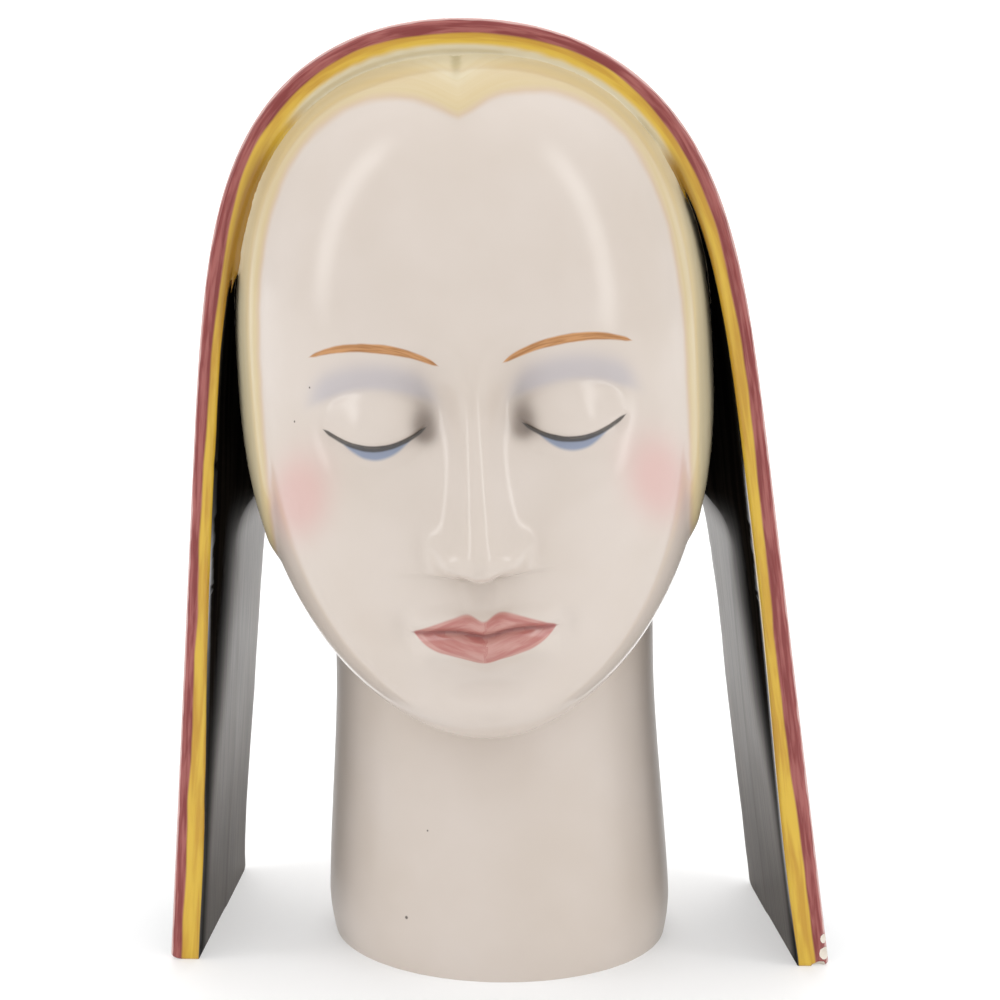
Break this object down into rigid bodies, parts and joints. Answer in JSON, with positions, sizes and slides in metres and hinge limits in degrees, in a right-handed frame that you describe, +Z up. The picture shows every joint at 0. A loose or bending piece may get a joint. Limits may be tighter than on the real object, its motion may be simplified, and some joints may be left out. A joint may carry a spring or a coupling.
{
  "type": "porcelain madonna figurine",
  "caption": "Glazed earthenware head of a veiled madonna with closed eyes, standing on its column neck and the two straight flaps of its veil.",
  "frame": {"origin": "on the ground under the middle of the round neck, in the plane of the underside", "axes": "+Z up through the neck to the crown of the veil, +X to the viewer's right, -Y the way the face looks"},
  "size_m": [0.2119, 0.1962, 0.3],
  "materials": {
    "glazed_earthenware": "gloss"
  },
  "bodies": {
    "root": {"madonna_head": "glazed_earthenware"}
  },
  "joints": []
}
